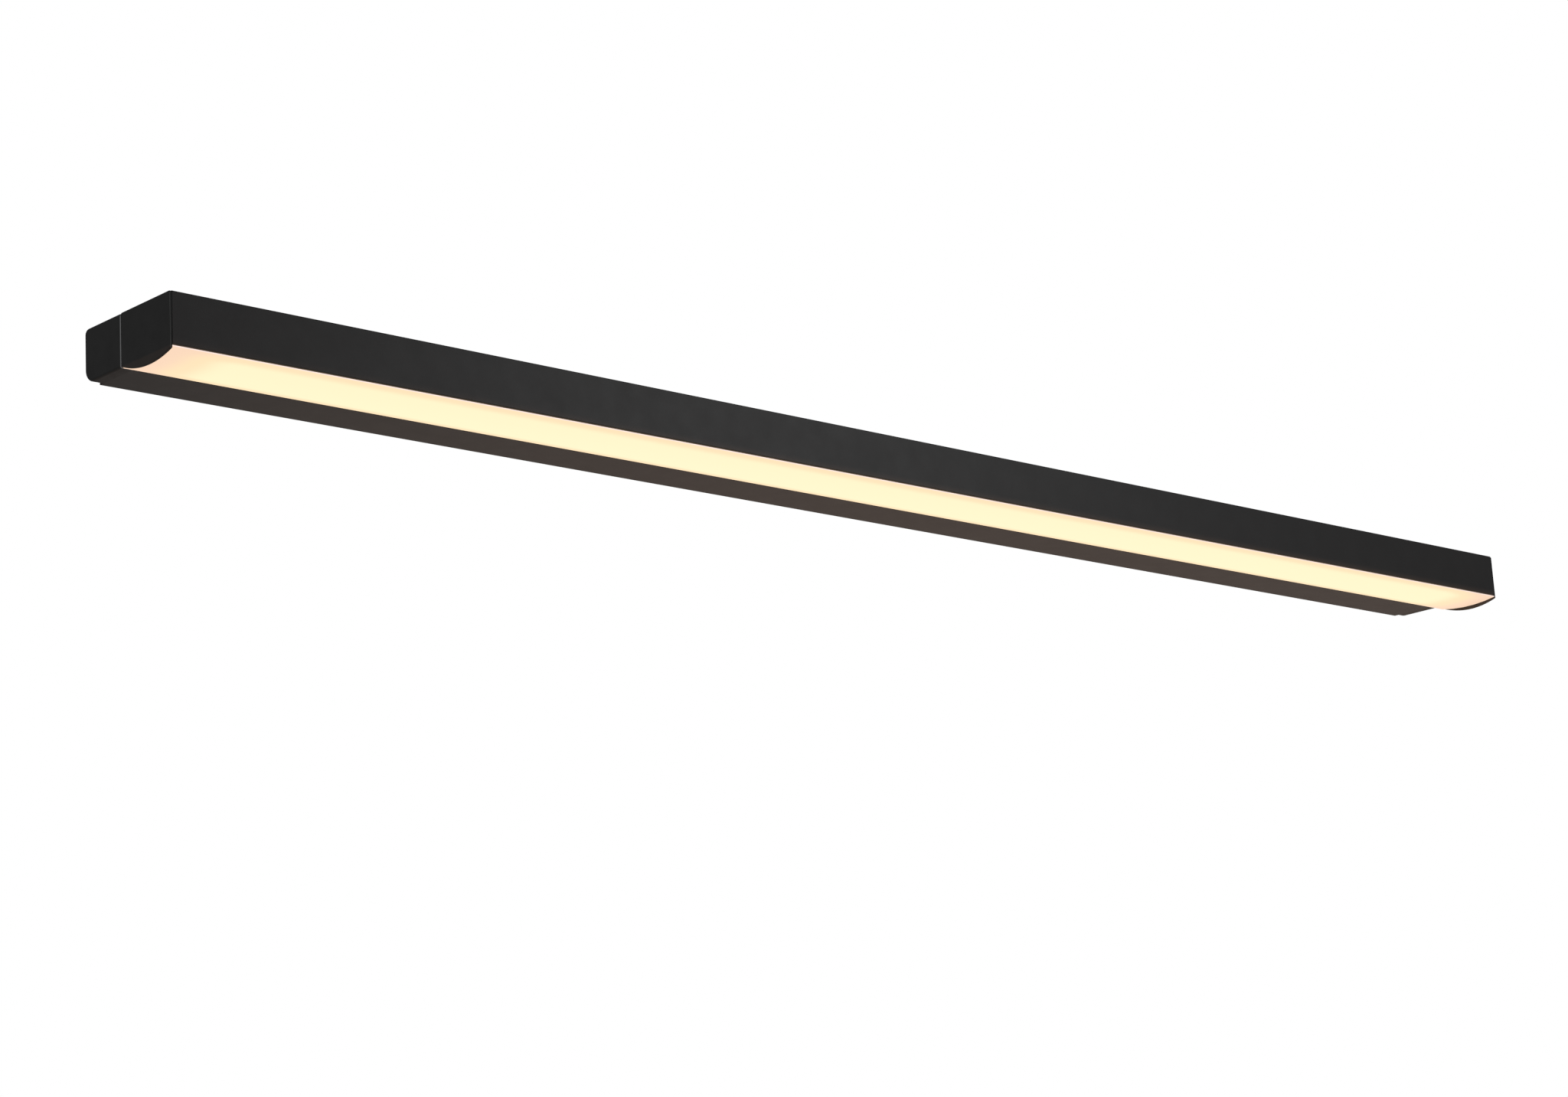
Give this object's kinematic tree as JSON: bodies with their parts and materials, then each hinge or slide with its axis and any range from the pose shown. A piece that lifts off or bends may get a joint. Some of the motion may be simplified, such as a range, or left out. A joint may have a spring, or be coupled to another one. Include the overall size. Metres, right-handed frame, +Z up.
{
  "type": "vanity light bar",
  "caption": "Slim black wall-mounted LED light bar for above a mirror, with a convex opal diffuser under its front half.",
  "frame": {"origin": "centre of the wall bracket's back face, level with the middle of the bar's height", "axes": "+X along the bar to its right end as seen from the room, +Y into the wall, +Z up"},
  "size_m": [1, 0.0715, 0.0305],
  "materials": {
    "black_powder_coat": "fine-textured matt black powder coat",
    "black_moulded_plastic": "matt black moulded end caps",
    "opal_acrylic": "opal, satin, lit from inside in warm white",
    "galvanised_steel": "bright zinc plate",
    "mill_aluminium": "plain extruded aluminium strip",
    "plated_screws": "zinc-plated screws and nuts",
    "black_rubber": "matt soft rubber",
    "clear_silicone": "translucent silicone",
    "white_reflector": "satin white reflector film",
    "white_solder_mask": "white solder mask on an aluminium board",
    "led_phosphor": "yellow phosphor in a white frame",
    "grey_thermal_pad": "soft grey thermal pad",
    "brass": "bare brass",
    "white_nylon": "natural nylon",
    "driver_housing_plastic": "white polycarbonate, fine grain",
    "green_circuit_board": "green solder mask",
    "green_terminal_plastic": "moulded terminal",
    "ferrite": "dark grey sintered ferrite",
    "copper_winding": "enamelled copper wire",
    "capacitor_sleeve": "heat-shrunk sleeve",
    "film_capacitor_case": "yellow moulded case",
    "chip_epoxy": "black epoxy",
    "tinned_copper": "tinned copper",
    "earth_insulation": "green and yellow insulation",
    "brown_insulation": "brown insulation",
    "blue_insulation": "blue insulation",
    "red_insulation": "red insulation",
    "black_insulation": "black insulation"
  },
  "bodies": {
    "root": {"wall_bracket": "galvanised_steel", "cable_grommet": "black_rubber", "fixing_screws": "plated_screws", "rear_channel": "black_powder_coat", "rear_cap_left": "black_moulded_plastic", "rear_cap_right": "black_moulded_plastic", "head_profile": "black_powder_coat", "led_tray": "mill_aluminium", "head_cap_left": "black_moulded_plastic", "head_cap_right": "black_moulded_plastic", "cap_gasket_left": "black_rubber", "cap_gasket_right": "black_rubber", "diffuser": "opal_acrylic", "diffuser_seals": "clear_silicone", "reflector_front": "white_reflector", "reflector_rear": "white_reflector", "led_board_left": "white_solder_mask", "led_board_right": "white_solder_mask", "led_chips": "led_phosphor", "thermal_pads": "grey_thermal_pad", "board_screws": "plated_screws", "board_link": "white_nylon", "board_connector": "white_nylon", "joint_screws": "plated_screws", "joint_nuts": "plated_screws", "terminal_block": "white_nylon", "terminal_sleeves": "brass", "terminal_screws": "plated_screws", "cable_clamp_base": "white_nylon", "cable_clamp_saddle": "white_nylon", "clamp_screws": "plated_screws", "driver_case": "driver_housing_plastic", "driver_cover": "driver_housing_plastic", "driver_board": "green_circuit_board", "driver_input_terminal": "green_terminal_plastic", "driver_output_terminal": "green_terminal_plastic", "transformer_core": "ferrite", "transformer_winding": "copper_winding", "driver_capacitors": "capacitor_sleeve", "interference_capacitor": "film_capacitor_case", "choke": "copper_winding", "driver_chips": "chip_epoxy", "driver_screws": "plated_screws", "earth_lug": "tinned_copper", "earth_screw": "plated_screws", "earth_wire": "earth_insulation", "live_wire": "brown_insulation", "neutral_wire": "blue_insulation", "led_wire_positive": "red_insulation", "led_wire_negative": "black_insulation", "wire_grommet": "black_rubber"}
  },
  "joints": []
}
